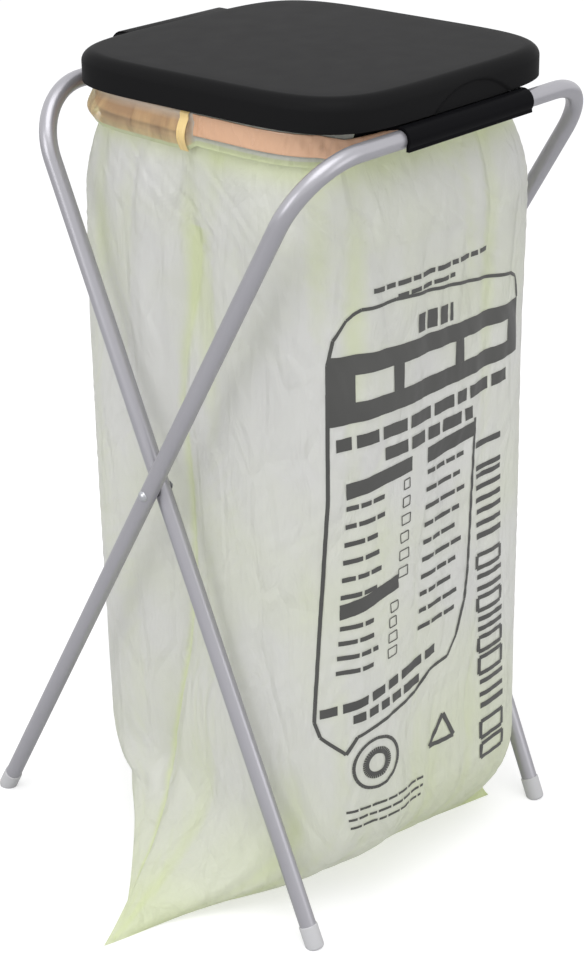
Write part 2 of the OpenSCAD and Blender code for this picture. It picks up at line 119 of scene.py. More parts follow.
tree.links.new(blend_in.outputs[0], out.inputs["Surface"])
floor_mesh.materials.append(floor_mat)

world = bpy.data.worlds.new("surround")
bpy.context.scene.world = world
world.use_nodes = True
tree = world.node_tree
tree.nodes.clear()
out = tree.nodes.new("ShaderNodeOutputWorld")
soft_light = add_node(tree, "ShaderNodeBackground", in_Color=(1, 1, 1, 1), in_Strength=0.8)
white = add_node(tree, "ShaderNodeBackground", in_Color=(1, 1, 1, 1), in_Strength=1.0)
rays = add_node(tree, "ShaderNodeLightPath")
seen = add_node(tree, "ShaderNodeMath", operation="MAXIMUM")
seen_too = add_node(tree, "ShaderNodeMath", operation="MAXIMUM")
blend_in = add_node(tree, "ShaderNodeMixShader")
tree.links.new(rays.outputs["Is Camera Ray"], seen.inputs[0])
tree.links.new(rays.outputs["Is Transmission Ray"], seen.inputs[1])
tree.links.new(seen.outputs[0], seen_too.inputs[0])
tree.links.new(rays.outputs["Is Glossy Ray"], seen_too.inputs[1])
tree.links.new(seen_too.outputs[0], blend_in.inputs[0])
tree.links.new(soft_light.outputs[0], blend_in.inputs[1])
tree.links.new(white.outputs[0], blend_in.inputs[2])
tree.links.new(blend_in.outputs[0], out.inputs["Surface"])


def soft_box(name, place, aim, size, power):
    """A square lamp at a place, turned towards a point."""
    lamp = bpy.data.lights.new(name, "AREA")
    lamp.shape = "SQUARE"
    lamp.size = size
    lamp.energy = power
    holder = bpy.data.objects.new(name, lamp)
    holder.matrix_world = (
        Matrix.Translation(place) @ (Vector(aim) - Vector(place)).to_track_quat("-Z", "Y").to_matrix().to_4x4())
    bpy.context.scene.collection.objects.link(holder)


soft_box("lamp_above", (-0.9, -0.6, 3.2), (0, 0, 0.4), 2.4, 44)
soft_box("lamp_left", (-3.2, 0.4, 1.6), (0, 0, 0.4), 1.6, 21)
soft_box("lamp_front", (0.9, -3.2, 1.3), (0, 0, 0.4), 1.8, 14)

# Frames. Two U-shaped steel tubes, 16 mm across, bent cold and painted a satin silver-grey;
# the bars turn in the ring's clips and the legs cross at the rivets.
smoothing_trees = {}


def smoothing_tree(mat):
    """A tree that rounds the shading of a CAD node's facets but keeps its true edges, and gives it a material."""
    group = bpy.data.node_groups.new("smooth_" + mat.name, "GeometryNodeTree")
    face = group.interface
    face.new_socket("Geometry", in_out="INPUT", socket_type="NodeSocketGeometry")
    angle = face.new_socket("Sharp angle", in_out="INPUT", socket_type="NodeSocketFloat")
    weld = face.new_socket("Weld distance", in_out="INPUT", socket_type="NodeSocketFloat")
    face.new_socket("Geometry", in_out="OUTPUT", socket_type="NodeSocketGeometry")
    enter = add_node(group, "NodeGroupInput")
    leave = add_node(group, "NodeGroupOutput")
    merge = add_node(group, "GeometryNodeMergeByDistance")
    plain = add_node(group, "GeometryNodeRemoveAttribute", in_Name="custom_normal")
    smooth = add_node(group, "GeometryNodeSetShadeSmooth", domain="FACE")
    edge_angle = add_node(group, "GeometryNodeInputMeshEdgeAngle")
    sharper = add_node(group, "FunctionNodeCompare", operation="GREATER_THAN")
    crisp = add_node(group, "GeometryNodeSetShadeSmooth", domain="EDGE")
    crisp.inputs["Shade Smooth"].default_value = False
    real = add_node(group, "GeometryNodeRealizeInstances")
    paint = add_node(group, "GeometryNodeSetMaterial")
    paint.inputs["Material"].default_value = mat
    link = group.links.new
    link(enter.outputs["Geometry"], merge.inputs["Geometry"])
    link(enter.outputs["Weld distance"], merge.inputs["Distance"])
    link(merge.outputs[0], plain.inputs["Geometry"])
    link(plain.outputs[0], smooth.inputs["Geometry"])
    link(smooth.outputs[0], crisp.inputs["Geometry"])
    link(edge_angle.outputs["Unsigned Angle"], sharper.inputs["A"])
    link(enter.outputs["Sharp angle"], sharper.inputs["B"])
    link(sharper.outputs[0], crisp.inputs["Selection"])
    link(crisp.outputs[0], real.inputs[0])
    link(real.outputs[0], paint.inputs["Geometry"])
    link(paint.outputs[0], leave.inputs[0])
    return group, angle.identifier, weld.identifier


def dress_node(name, mat, sharp=30.0):
    """Gives a CAD node its material and rounded shading."""
    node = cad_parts[name]
    if mat.name not in smoothing_trees:
        smoothing_trees[mat.name] = smoothing_tree(mat)
    group, angle_id, weld_id = smoothing_trees[mat.name]
    node.data.materials.clear()
    node.data.materials.append(mat)
    rounding = node.modifiers.new("smooth_shading", "NODES")
    rounding.node_group = group
    rounding[angle_id] = math.radians(sharp)
    rounding[weld_id] = 0.00001


def surface_material(name, colour, deeper, roughness, bump_scale, bump_height,
                     metallic=0.0, specular=0.5, spread=0.05, stretch=(1, 1, 1)):
    """A moulded or painted surface: slight drifts of colour and gloss, and a fine grain in relief."""
    mat, tree, out = new_material(name)
    link = tree.links.new
    shader = add_node(tree, "ShaderNodeBsdfPrincipled")
    shader.inputs["Metallic"].default_value = metallic
    shader.inputs["Specular IOR Level"].default_value = specular
    place = add_node(tree, "ShaderNodeTexCoord")
    scaled = add_node(tree, "ShaderNodeMapping")
    scaled.inputs["Scale"].default_value = stretch
    link(place.outputs["Object"], scaled.inputs["Vector"])
    drift = add_node(tree, "ShaderNodeTexNoise", in_Scale=9.0, in_Detail=4.0)
    link(scaled.outputs[0], drift.inputs["Vector"])
    tone = add_node(tree, "ShaderNodeMix", data_type="RGBA")
    tone.inputs["A"].default_value = (*colour, 1)
    tone.inputs["B"].default_value = (*deeper, 1)
    link(drift.outputs["Fac"], tone.inputs["Factor"])
    link(tone.outputs["Result"], shader.inputs["Base Color"])
    gloss = add_node(tree, "ShaderNodeMapRange")
    gloss.inputs["From Min"].default_value = 0.3
    gloss.inputs["From Max"].default_value = 0.7
    gloss.inputs["To Min"].default_value = roughness - spread
    gloss.inputs["To Max"].default_value = roughness + spread
    smear = add_node(tree, "ShaderNodeTexNoise", in_Scale=38.0, in_Detail=3.0)
    link(scaled.outputs[0], smear.inputs["Vector"])
    link(smear.outputs["Fac"], gloss.inputs["Value"])
    link(gloss.outputs[0], shader.inputs["Roughness"])
    grain = add_node(tree, "ShaderNodeTexNoise", in_Scale=bump_scale, in_Detail=2.0)
    link(scaled.outputs[0], grain.inputs["Vector"])
    relief = add_node(tree, "ShaderNodeBump", in_Strength=0.5)
    relief.inputs["Distance"].default_value = bump_height
    link(grain.outputs["Fac"], relief.inputs["Height"])
    link(relief.outputs[0], shader.inputs["Normal"])
    link(shader.outputs[0], out.inputs["Surface"])
    return mat


tube_paint = surface_material("silver_tube_paint", (0.42, 0.415, 0.445), (0.38, 0.375, 0.405), 0.32, 1400, 0.00004,
                              metallic=0.55, spread=0.04)
dress_node("front_bar_frame", tube_paint)
dress_node("rear_bar_frame", tube_paint)

# Foot caps. Pale grey polypropylene caps pushed over the tube ends, moulded with rounded
# lower edges and a fine matte skin.
cap_plastic = surface_material("foot_cap_plastic", (0.57, 0.57, 0.58), (0.50, 0.50, 0.52), 0.45, 1900, 0.00005)
for cap in ("foot_cap_front_left", "foot_cap_front_right", "foot_cap_rear_left", "foot_cap_rear_right"):
    dress_node(cap, cap_plastic, 38)

# Pivots. Zinc-plated steel rivets, domed outside and clinched inside, with a black nylon
# washer between the two tubes.
zinc = surface_material("zinc_plating", (0.55, 0.56, 0.58), (0.46, 0.47, 0.50), 0.33, 2600, 0.00003,
                        metallic=1.0, stretch=(1, 1, 6))
nylon = surface_material("washer_nylon", (0.10, 0.10, 0.105), (0.12, 0.12, 0.125), 0.5, 1500, 0.00003)
for side in ("left", "right"):
    dress_node("pivot_rivet_" + side, zinc, 42)
    dress_node("spacer_washer_" + side, nylon)

# Bag ring. One black polypropylene moulding: a thin wall that the bag is pulled through, two
# clips that snap over the rear bar, and a long hook with a flared lip that drops over the front bar.
ring_plastic = surface_material("ring_plastic", (0.005, 0.005, 0.006), (0.006, 0.006, 0.007), 0.3, 900, 0.00003,
                                specular=0.02, spread=0.03)
dress_node("bag_ring", ring_plastic, 28)

# Rubber band. A broad natural-rubber band that grips the turned-down film on the ring; it is
# stretched, so it lies in shallow ripples and its edges are slightly rounded.
stand_x = 0.052266
rear_bar_y = 0.146
rear_bar_z = 0.748
deck_tilt = math.radians(1.3400)
ring_half_x = 0.14997
ring_half_y = 0.14880
ring_mid_y = -0.16630
squareness = 5.0


def rounded(t, a, b, n=squareness):
    """X and Y of a rounded square at the angles t."""
    c, s = np.cos(t), np.sin(t)
    k = (np.abs(c) ** n + np.abs(s) ** n) ** (-1 / n)
    return a * c * k, b * s * k


def from_deck(x, y, z, tilt=deck_tilt):
    """Points of the deck's frame in the row frame."""
    return np.stack([
        stand_x + x,
        rear_bar_y + y * np.cos(tilt) + z * np.sin(tilt),
        rear_bar_z - y * np.sin(tilt) + z * np.cos(tilt)], -1)


def out_from(points):
    """Level outward directions of a closed loop of points, in X and Y."""
    along = np.roll(points, -1, 0) - np.roll(points, 1, 0)
    out = np.stack([along[:, 1], -along[:, 0]], -1)
    return out / np.maximum(np.linalg.norm(out, axis=1, keepdims=True), 1e-9)


def loop_faces(rows, count, first=0):
    """Four-sided faces between rows of a closed grid."""
    return [(first + i * count + j, first + i * count + (j + 1) % count,
             first + (i + 1) * count + (j + 1) % count, first + (i + 1) * count + j)
            for i in range(rows - 1) for j in range(count)]


def new_piece(name, points, faces, mat, body, replaced=(), sharp=None):
    """A mesh object from points and faces, on a CAD body."""
    mesh = bpy.data.meshes.new(name)
    mesh.from_pydata([tuple(map(float, p)) for p in points], [], faces)
    mesh.materials.append(mat)
    mesh.validate()
    mesh.shade_smooth()
    if sharp:
        mesh.set_sharp_from_angle(angle=math.radians(sharp))
    piece = bpy.data.objects.new(name, mesh)
    bpy.context.scene.collection.objects.link(piece)
    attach(piece, body)
    if replaced:
        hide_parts(*replaced)
    return piece


def ripple(t, seed, low, high, count, steepness=1.0):
    """A seeded sum of waves round a loop, between about -1 and 1."""
    pick = np.random.default_rng(seed)
    total = np.zeros_like(t)
    weight = 0
    for _ in range(count):
        f = pick.integers(low, high)
        w = (low / f) ** steepness
        total += w * np.sin(f * t + pick.uniform(0, 2 * np.pi))
        weight += w * w
    return total / np.sqrt(weight) / 1.6


band_count = 720
band_low = -0.017
band_high = 0.001
band_in = 0.0011
band_out = 0.0021
t = np.linspace(0, 2 * np.pi, band_count, endpoint=False)
profile = [(band_in, band_low + 0.0003), (band_in + 0.0003, band_low), (band_out - 0.0004, band_low)]
profile += [(band_out, band_low + 0.0004 + f * (band_high - band_low - 0.0008)) for f in np.linspace(0, 1, 12)]
profile += [(band_out - 0.0004, band_high), (band_in + 0.0003, band_high), (band_in, band_high - 0.0003)]
points = []
for off, z in profile:
    f = (z - band_low) / (band_high - band_low)
    waves = ripple(t + 0.05 * f, 5, 24, 90, 26, 0.4)
    fine = ripple(t - 0.03 * f, 9, 60, 240, 30, 0.5)
    outer = 1.0 if off > band_in + 0.0005 else 0.0
    grow = off + outer * 0.0009 * (waves + 0.6 * fine) * math.sin(math.pi * f) ** 0.5
    x, y = rounded(t, ring_half_x, ring_half_y)
    out = out_from(np.stack([x, y], -1))
    lift = 0.0005 * ripple(t, 21, 3, 20, 8) + (0.0045 + 0.001 * f) * np.clip((np.abs(x - 0.004) - 0.114) / 0.02, 0, 1)
    points.append(from_deck(x + out[:, 0] * grow, ring_mid_y + y + out[:, 1] * grow, z + lift))
points = np.concatenate(points)
faces = loop_faces(len(profile), band_count)
last = (len(profile) - 1) * band_count
faces += [(last + j, last + (j + 1) % band_count, (j + 1) % band_count, j) for j in range(band_count)]
band_rubber = surface_material("band_rubber", (0.76, 0.48, 0.32), (0.64, 0.37, 0.22), 0.24, 170, 0.0009,
                               spread=0.1, stretch=(1, 1, 0.5))
band = new_piece("rubber_band_loop", points, faces, band_rubber, "ring", ["rubber_band"])

# Film bag. A gusseted bag of thin yellow-green polyethylene film, drawn up through the ring
# and turned down over its rim; it hangs in long folds and its bottom is closed by one weld.
bag_half_x = 0.15805
bag_half_y = 0.16780
bag_top_y = -0.02030
bag_top_z = 0.658
bag_close_z = 0.110
bag_drift = 0.026
weld_z = 0.0008
weld_half = 0.230
weld_turn = math.radians(-13.3)
weld_left = 0.084
weld_front = 0.117
film_count = 560
film_in = -0.0027
film_rim = 0.0083
t = np.linspace(0, 2 * np.pi, film_count, endpoint=False)


def body_loop(z):
    """Loop of the bag's body at a height: a rounded square that closes to the weld's line below."""
    down = (bag_top_z - z) / (bag_top_z - bag_close_z)
    mid_y = bag_top_y - bag_drift * min(1, down)
    close = max(0.0, 1 - (z - weld_z) / (bag_close_z - weld_z))
    share = close ** 2.2
    x, y = rounded(t, bag_half_x, bag_half_y)
    a = t - weld_turn
    u, v = weld_half * np.cos(a), 0.0006 * np.sin(a)
    wx = u * math.cos(weld_turn) - v * math.sin(weld_turn) - weld_left
    wy = u * math.sin(weld_turn) + v * math.cos(weld_turn) - weld_front
    return np.stack([x * (1 - share) + wx * share, (y + mid_y) * (1 - share) + wy * share], -1), share


flap_long = 0.0345
flap_short = 0.029


def flap_off(f):
    """How far the long part of the flap stands off the ring, from the rim to its edge; it bulges below the lid."""
    bulge = math.sin(math.pi * min(1, max(0, (f - 0.2) / 0.8)))
    return 0.0005 + 0.0030 * min(1, 14 * f) + 0.0004 * f + 0.0050 * bulge ** 0.9


def flap_drop(x, y):
    """How far the film is turned down outside the ring, at points of the ring's outline."""
    drop = np.where((x < -0.6 * ring_half_x) & (y > -0.010), flap_long, flap_short)
    drop = np.where((np.abs(x - 0.004) < 0.108) & (y < -0.7 * ring_half_y), 0.0, drop)
    return np.where((np.abs(x) < 0.110) & (y > 0), 0.0, drop)


rows = []
row_height = []
close_steps = 46
for f in np.linspace(0, 1, close_steps, endpoint=False):
    row_height.append(("body", weld_z + f ** 1.35 * (bag_close_z - weld_z)))
for f in np.linspace(0, 1, 110):
    row_height.append(("body", bag_close_z + f * (bag_top_z - bag_close_z)))
for f in np.linspace(0, 1, 26)[1:]:
    row_height.append(("neck", f))
for z in np.linspace(-0.023, film_rim, 9)[1:]:
    row_height.append(("inside", z))
for f in np.linspace(0, 1, 4)[1:]:
    row_height.append(("rim", f))
for f in np.linspace(0, 1, 31)[1:]:
    row_height.append(("flap", f))

ring_x, ring_y = rounded(t, ring_half_x, ring_half_y)
ring_out = out_from(np.stack([ring_x, ring_y], -1))
bar_room = np.clip((0.143 - ring_y) / 0.03, 0, 1) ** 0.6


def ring_points(off, z, wave=0.0):
    """Points round the ring's wall at an offset and a height in the deck's frame."""
    return from_deck(ring_x + ring_out[:, 0] * (off + wave), ring_mid_y + ring_y + ring_out[:, 1] * (off + wave), z)


def fold_waves(z):
    """Outward moves of the hanging film at a height, in metres."""
    down = bag_top_z + 0.06 - z
    strong = 0.0038 * math.exp(-((z - 0.64) / 0.10) ** 2) + 0.0022 + 0.0018 * math.exp(-((z - 0.07) / 0.09) ** 2)
    long_folds = ripple(t + 0.25 * down, 3, 7, 40, 24, 0.8)
    cross_folds = ripple(t - 1.1 * down, 14, 5, 22, 14, 0.6)
    crinkle = ripple(t + 0.9 * math.sin(9 * z), 31, 40, 150, 30, 0.6)
    return strong * (0.65 * long_folds + 0.45 * cross_folds) + 0.00045 * crinkle


# where the left pleat runs: heights in metres, and places round the loop in degrees
pleat_height = (0, 0.035, 0.075, 0.125, 0.22, 0.30, 0.33, 0.40, 0.49, 0.53, 0.59, 0.65, 0.72)
pleat_place = (151, 159, 159, 161, 169, 174, 175, 175.5, 174.5, 176.5, 181, 185, 186)


def pleat(z, side):
    """Inward move of a side's gusset pleat at a height, round the loop; side is -1 for left."""
    centre = math.radians(np.interp(z, pleat_height, pleat_place)) if side < 0 else -0.07 - 0.06 * math.sin(8 * z)
    away = np.abs((t - centre + np.pi) % (2 * np.pi) - np.pi)
    depth = 0.003 + 0.013 * min(1, max(0, (0.72 - z) / 0.5))
    return -depth * np.exp(-(away / 0.10)) - 0.45 * depth * np.exp(-(away / 0.34) ** 2)


rear_corner = np.exp(-((t - 2.42) / 0.30) ** 2)


def shoulder_pull(z):
    """Inward move of the rear corner just under the ring."""
    return 0.006 * math.exp(-((z - 0.66) / 0.09) ** 2)


def waist_pull(z):
    """Inward move of the rear corner above the weld, with a nick in it."""
    return 0.013 * math.exp(-((z - 0.047) / 0.030) ** 2) + 0.005 * math.exp(-((z - 0.062) / 0.008) ** 2)


green = []
for kind, value in row_height:
    if kind == "body":
        loop, share = body_loop(value)
        out = out_from(loop)
        keep = (1 - share) ** 0.6 if value < bag_close_z else 1.0
        pleats = pleat(value, -1) + pleat(value, 1)
        move = (fold_waves(value) + pleats) * keep
        xy = loop + out * (move - rear_corner * (shoulder_pull(value) + waist_pull(value)))[:, None]
        rows.append(np.stack([stand_x + xy[:, 0], xy[:, 1], np.full(film_count, value)], -1))
        tint = 0.03 + 150 * np.maximum(0, -fold_waves(value) - 0.0006)
        crease = np.exp(-(pleats.min() - pleats) ** 2 / 4e-6)
        tint = tint + 0.7 * crease + 0.5 * math.exp(-(value / 0.03)) + 0.35 * math.exp(-(value / 0.12))
        green.append(np.clip(tint, 0, 1))
    elif kind == "neck":
        loop, _ = body_loop(bag_top_z)
        start = np.stack([stand_x + loop[:, 0], loop[:, 1], np.full(film_count, bag_top_z)], -1)
        end = ring_points(film_in, -0.023)
        ease = value ** 1.8
        row = start * (1 - ease) + end * ease
        row[:, 2] = start[:, 2] * (1 - value) + end[:, 2] * value
        z_mid = float(row[:, 2].mean())
        out = out_from(row[:, :2])
        fade = 1 - value ** 2.5
        move = (fold_waves(z_mid) * (1 + 0.5 * value) + pleat(z_mid, -1) + pleat(z_mid, 1)
                - rear_corner * shoulder_pull(z_mid)) * fade
        row[:, :2] += out * move[:, None]
        rows.append(row)
        top_green = 0.75 * math.exp(-((1 - value) / 0.22) ** 2)
        green.append(np.clip(0.08 + top_green + 130 * np.maximum(0, -fold_waves(z_mid) - 0.0006), 0, 1))
    elif kind == "inside":
        rows.append(ring_points(film_in, np.full(film_count, value)))
        green.append(np.full(film_count, 0.4))
    elif kind == "rim":
        a = value * np.pi / 2
        off = film_in + (0.0005 - film_in) * value
        rows.append(ring_points(off, np.full(film_count, film_rim + 0.0004 * math.sin(value * np.pi))))
        green.append(np.full(film_count, 0.5))
    else:
        drop = flap_drop(ring_x, ring_y)
        for _ in range(5):
            drop = (np.roll(drop, 1) + 2 * drop + np.roll(drop, -1)) / 4
        z = film_rim - value * np.maximum(drop, 0.0002)
        left_rear = 1 / (1 + np.exp(-(drop - 0.0317) / 0.0004))
        below = np.clip((-0.0135 - z) / 0.012, 0, 1)
        swell = math.sin(math.pi * min(1, max(0, (value - 0.2) / 0.8))) ** 2
        stand_off = flap_off(value) * (1 + 0.45 * rear_corner * swell)
        stand_off = np.where(stand_off > 0.0038, 0.0038 + (stand_off - 0.0038) * bar_room, stand_off)
        off = 0.0005 + (stand_off - 0.0005) * left_rear + 0.0030 * below * (1 - left_rear)
        wave = 0.0013 * ripple(t, 8, 12, 60, 20, 0.5) * left_rear * math.sin(value * 2.6)
        rows.append(ring_points(off, z, np.maximum(wave, -0.0003)))
        green.append(np.clip(0.3 + 0.7 * (value > 0.86) + 0.7 * below, 0, 1))
film = np.stack(rows)
green = np.stack(green)
row_total = len(rows)

film_mat, tree, out = new_material("bag_film_green")
link = tree.links.new
tint_node = add_node(tree, "ShaderNodeAttribute", attribute_name="fold_tint")
place = add_node(tree, "ShaderNodeTexCoord")
cloudy = add_node(tree, "ShaderNodeTexNoise", in_Scale=5.5, in_Detail=5.0)
link(place.outputs["Object"], cloudy.inputs["Vector"])
cloud_tint = add_node(tree, "ShaderNodeMath", operation="MULTIPLY_ADD")
cloud_tint.inputs[1].default_value = 1.5
cloud_tint.inputs[2].default_value = -0.73
link(cloudy.outputs["Fac"], cloud_tint.inputs[0])
tint_sum = add_node(tree, "ShaderNodeMath", operation="ADD", use_clamp=True)
link(tint_node.outputs["Fac"], tint_sum.inputs[0])
link(cloud_tint.outputs[0], tint_sum.inputs[1])
film_tone = add_node(tree, "ShaderNodeMix", data_type="RGBA")
film_tone.inputs["A"].default_value = (0.77, 0.765, 0.775, 1)
film_tone.inputs["B"].default_value = (0.74, 0.80, 0.50, 1)
link(tint_sum.outputs[0], film_tone.inputs["Factor"])
shader = add_node(tree, "ShaderNodeBsdfPrincipled", in_Roughness=0.3)
through = add_node(tree, "ShaderNodeBsdfTranslucent")
clear = add_node(tree, "ShaderNodeBsdfTransparent", in_Color=(0.93, 0.96, 0.82, 1))
milky = add_node(tree, "ShaderNodeMixShader")
milky.inputs[0].default_value = 0.38
sheer = add_node(tree, "ShaderNodeMixShader")
sheer_node = add_node(tree, "ShaderNodeAttribute", attribute_name="sheer")
link(sheer_node.outputs["Fac"], sheer.inputs[0])
wrinkle_map = add_node(tree, "ShaderNodeMapping")
wrinkle_map.inputs["Scale"].default_value = (1, 1, 0.35)
link(place.outputs["Object"], wrinkle_map.inputs["Vector"])
wrinkle = add_node(tree, "ShaderNodeTexNoise", in_Scale=34.0, in_Detail=6.0, in_Distortion=1.2)
link(wrinkle_map.outputs[0], wrinkle.inputs["Vector"])
streak = add_node(tree, "ShaderNodeMapRange")
streak.inputs["From Min"].default_value = 0.36
streak.inputs["From Max"].default_value = 0.64
link(wrinkle.outputs["Fac"], streak.inputs["Value"])
# The flap's film over the band takes the band's warm colour, with painted shade: dark brown toward the top of the
# flap, under the lid, turning light orange lower down, in streaks that follow the wrinkle noise.
flap_tone_and_shade = add_node(tree, "ShaderNodeMix", data_type="RGBA")
flap_tone_and_shade.inputs["A"].default_value = (0.40, 0.26, 0.15, 1)
flap_tone_and_shade.inputs["B"].default_value = (0.82, 0.60, 0.32, 1)
share_node = add_node(tree, "ShaderNodeAttribute", attribute_name="flap_share")
top_shade_ramp = add_node(tree, "ShaderNodeMath", operation="MULTIPLY_ADD")
top_shade_ramp.inputs[1].default_value = 1.1
top_shade_ramp.inputs[2].default_value = -0.45
link(share_node.outputs["Fac"], top_shade_ramp.inputs[0])
warmth_and_shade = add_node(tree, "ShaderNodeMath", operation="MULTIPLY_ADD", use_clamp=True)
warmth_and_shade.inputs[1].default_value = 0.75
link(streak.outputs[0], warmth_and_shade.inputs[0])
link(top_shade_ramp.outputs[0], warmth_and_shade.inputs[2])
link(warmth_and_shade.outputs[0], flap_tone_and_shade.inputs["Factor"])
over_node = add_node(tree, "ShaderNodeAttribute", attribute_name="over_band")
film_colour = add_node(tree, "ShaderNodeMix", data_type="RGBA")
link(over_node.outputs["Fac"], film_colour.inputs["Factor"])
link(film_tone.outputs["Result"], film_colour.inputs["A"])
link(flap_tone_and_shade.outputs["Result"], film_colour.inputs["B"])
link(film_colour.outputs["Result"], shader.inputs["Base Color"])
link(film_colour.outputs["Result"], through.inputs["Color"])
creases = add_node(tree, "ShaderNodeTexVoronoi", feature="DISTANCE_TO_EDGE", in_Scale=26.0)
link(wrinkle_map.outputs[0], creases.inputs["Vector"])
crease_edge = add_node(tree, "ShaderNodeMapRange")
crease_edge.inputs["From Max"].default_value = 0.12
link(creases.outputs["Distance"], crease_edge.inputs["Value"])
relief_sum = add_node(tree, "ShaderNodeMath", operation="MULTIPLY_ADD")
relief_sum.inputs[1].default_value = 0.22
link(crease_edge.outputs[0], relief_sum.inputs[0])
link(wrinkle.outputs["Fac"], relief_sum.inputs[2])
relief = add_node(tree, "ShaderNodeBump", in_Strength=0.8)
relief.inputs["Distance"].default_value = 0.006
link(relief_sum.outputs[0], relief.inputs["Height"])
link(relief.outputs[0], shader.inputs["Normal"])
link(shader.outputs[0], milky.inputs[1])
link(through.outputs[0], milky.inputs[2])
link(milky.outputs[0], sheer.inputs[1])
link(clear.outputs[0], sheer.inputs[2])
link(sheer.outputs[0], out.inputs["Surface"])

share = np.array([value if kind == "flap" else 0 for kind, value in row_height])[:, None]
over_band = left_rear[None, :] * np.clip((share - 0.10) / 0.2, 0, 1) * np.clip((0.90 - share) / 0.04, 0, 1)
seen_band = left_rear[None, :] * (share > 0) * np.clip((0.64 - share) / 0.1, 0, 1)
film_values = {
    "fold_tint": green,
    "flap_share": share * np.ones(film_count),
    "over_band": 0.9 * over_band,
    "sheer": 0.14 + 0.25 * seen_band,
}


def film_piece(name, first, stop, replaced=()):
    """A part of the film between two of its rows, with the values that its material reads."""
    part = new_piece(name, film[first:stop].reshape(-1, 3), loop_faces(stop - first, film_count), film_mat, "ring",
                     replaced)
    for label, values in film_values.items():
        kept = part.data.attributes.new(label, "FLOAT", "POINT")
        kept.data.foreach_set("value", values[first:stop].reshape(-1).astype(np.float32))
    return part


# The film is split at a row of the neck into two pieces: the sheet that hangs free, and the rim that the band grips.
grip_share = 0.68
grip_row = [i for i, (kind, value) in enumerate(row_height) if kind == "neck" and value >= grip_share - 0.001][0]
bag = film_piece("film_bag_sheet", 0, grip_row + 1, ["film_bag"])
bag_rim = film_piece("film_bag_rim", grip_row, row_total)
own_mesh(bag)

# Print. Dark ink on the front of the film: a framed panel with a header field, rows of short
# bars, and plain marks, all without words; it lies on the film and hangs with it.
body_rows = [i for i, (kind, _) in enumerate(row_height) if kind == "body"]
body_z = np.array([row_height[i][1] for i in body_rows])
print_s = np.linspace(-0.19, 0.17, 361)
print_points = []
print_out = []
for i in body_rows:
    row = film[i]
    step = np.linalg.norm((np.roll(row, -1, 0) - row)[:, :2], axis=1)
    run = np.concatenate([[0], np.cumsum(step)[:-1]])
    along = (run - run[film_count * 3 // 4] + step.sum() / 2) % step.sum() - step.sum() / 2
    order = np.argsort(along)
    out = out_from(row[:, :2])
    print_points.append(np.stack([np.interp(print_s, along[order], row[order, k]) for k in range(2)], -1))
    print_out.append(np.stack([np.interp(print_s, along[order], out[order, k]) for k in range(2)], -1))
print_grid = np.concatenate([np.array(print_points), np.array(print_out)], -1)
ink_gap = 0.0006
ink_points = []
ink_faces = []


def on_film(s, z):
    """Points on the outside of the film, in the row frame; s is measured round it from the middle of the front."""
    row = np.clip(np.interp(z, body_z, np.arange(len(body_z))), 0, len(body_z) - 1.001)
    col = np.clip((s - print_s[0]) / (print_s[1] - print_s[0]), 0, len(print_s) - 1.001)
    i, j = row.astype(int), col.astype(int)
    a, b = (row - i)[:, None], (col - j)[:, None]
    at = ((print_grid[i, j] * (1 - b) + print_grid[i, j + 1] * b) * (1 - a)
          + (print_grid[i + 1, j] * (1 - b) + print_grid[i + 1, j + 1] * b) * a)
    xy = at[:, :2] + at[:, 2:] * ink_gap
    return np.stack([xy[:, 0], xy[:, 1], z], -1)


def ink_field(corners, cell=0.003):
    """Ink inside a four-cornered field; corners are s and z in millimetres, round from the lower left."""
    a, b, c, d = [np.array(q) / 1000 for q in corners]
    wide = max(1, math.ceil(max(np.linalg.norm(b - a), np.linalg.norm(c - d)) / cell))
    tall = max(1, math.ceil(max(np.linalg.norm(d - a), np.linalg.norm(c - b)) / cell))
    first = len(ink_points)
    for i in range(tall + 1):
        for j in range(wide + 1):
            f, g = j / wide, i / tall
            ink_points.append((a * (1 - f) + b * f) * (1 - g) + (d * (1 - f) + c * f) * g)
    for i in range(tall):
        for j in range(wide):
            k = first + i * (wide + 1) + j
            ink_faces.append((k, k + 1, k + wide + 2, k + wide + 1))


def ink_line(path, width):
    """An inked line of one width along a path of s and z in millimetres."""
    path = [np.array(p, float) for p in path]
    for a, b in zip(path[:-1], path[1:]):
        along = (b - a) / np.linalg.norm(b - a)
        side = np.array([-along[1], along[0]]) * width / 2
        ink_field([a - side, b - side, b + side, a + side])


def ink_bar(s, z, length, height, slant):
    """A short bar that stands for a word."""
    rise = length * slant
    ink_field([(s, z), (s + length, z + rise), (s + length, z + rise + height), (s, z + height)])


def ink_row(start, stop, z, height, shortest, longest, gap, slant=-0.04):
    """A row of bars of seeded lengths."""
    s = start
    while s < stop - 3:
        length = min(row_pick.uniform(shortest, longest), stop - s)
        ink_bar(s, z + (s - start) * slant, length, height, slant)
        s += length + gap


row_pick = np.random.default_rng(12)
ink_line([(-141, 540), (-141, 566), (-136, 588), (-124, 604), (-108, 611), (-70, 613), (2, 607), (95, 594),
          (106, 588), (111, 566)], 3.2)
ink_line([(-141, 540), (-142, 443), (-149, 345), (-156, 241), (-157, 220), (-152, 205), (-128, 185), (-117, 202),
          (-41, 221), (-22, 236), (5, 240), (18, 256), (30, 290), (34, 320), (38, 400), (42, 470)], 3.6)
